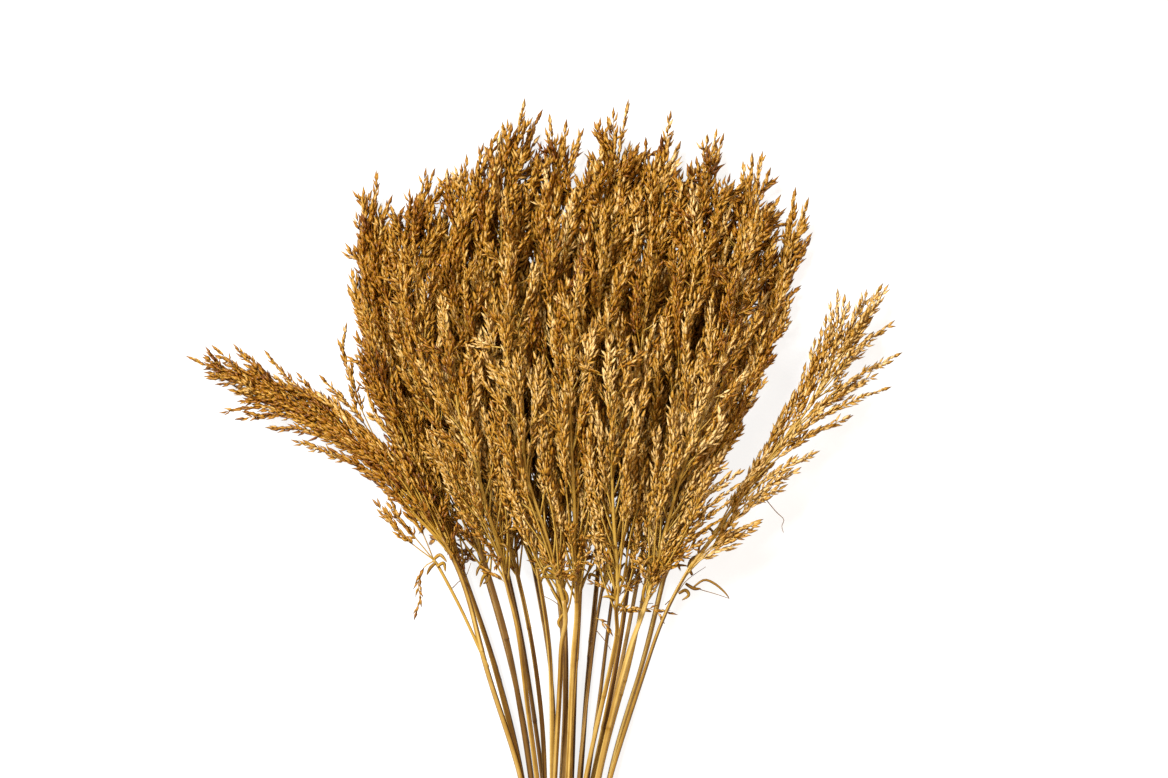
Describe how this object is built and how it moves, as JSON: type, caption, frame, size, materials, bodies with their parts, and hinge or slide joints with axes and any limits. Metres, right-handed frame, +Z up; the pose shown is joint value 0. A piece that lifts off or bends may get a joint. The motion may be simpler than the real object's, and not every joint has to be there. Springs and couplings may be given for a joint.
{
  "type": "dried umbrella sedge bunch",
  "caption": "Fan-shaped bunch of dried golden sedge stalks with long grainy plumes, lying flat, its cut stems gathered at one end.",
  "frame": {"origin": "on the surface that the bunch lies on, below the middle of its box", "axes": "+Z up from the surface, +Y along the bunch from the cut ends to the plumes, +X to the right seen from above"},
  "size_m": [0.4213, 0.5361, 0.0725],
  "materials": {
    "golden_stem": "dry, smooth, faintly glossy",
    "brown_stem": "dry, smooth, faintly glossy",
    "golden_husk": "dry, papery, soft sheen"
  },
  "bodies": {
    "root": {"stem_01": "brown_stem", "stem_02": "brown_stem", "stem_03": "brown_stem", "stem_04": "brown_stem", "stem_05": "brown_stem", "stem_06": "brown_stem", "stem_07": "brown_stem", "stem_08": "brown_stem", "stem_09": "brown_stem", "stem_10": "brown_stem", "stem_11": "golden_stem", "stem_12": "brown_stem", "stem_13": "golden_stem", "stem_14": "golden_stem", "stem_15": "brown_stem", "stem_16": "golden_stem", "stem_17": "brown_stem", "stem_18": "golden_stem", "stem_19": "golden_stem", "stem_20": "golden_stem", "stem_21": "golden_stem", "stem_22": "golden_stem", "stem_23": "golden_stem", "stem_24": "golden_stem", "stem_25": "golden_stem", "stem_26": "golden_stem", "stem_27": "golden_stem", "plume_01": "golden_husk", "plume_02": "golden_husk", "plume_03": "golden_husk", "plume_04": "golden_husk", "plume_05": "golden_husk", "plume_06": "golden_husk", "plume_07": "golden_husk", "plume_08": "golden_husk", "plume_09": "golden_husk", "plume_10": "golden_husk", "plume_11": "golden_husk", "plume_12": "golden_husk", "plume_13": "golden_husk", "plume_14": "golden_husk", "plume_15": "golden_husk", "plume_16": "golden_husk", "plume_17": "golden_husk", "plume_18": "golden_husk", "plume_19": "golden_husk", "plume_20": "golden_husk", "plume_21": "golden_husk", "plume_22": "golden_husk", "plume_23": "golden_husk", "plume_24": "golden_husk", "plume_25": "golden_husk", "plume_26": "golden_husk", "plume_27": "golden_husk"}
  },
  "joints": []
}
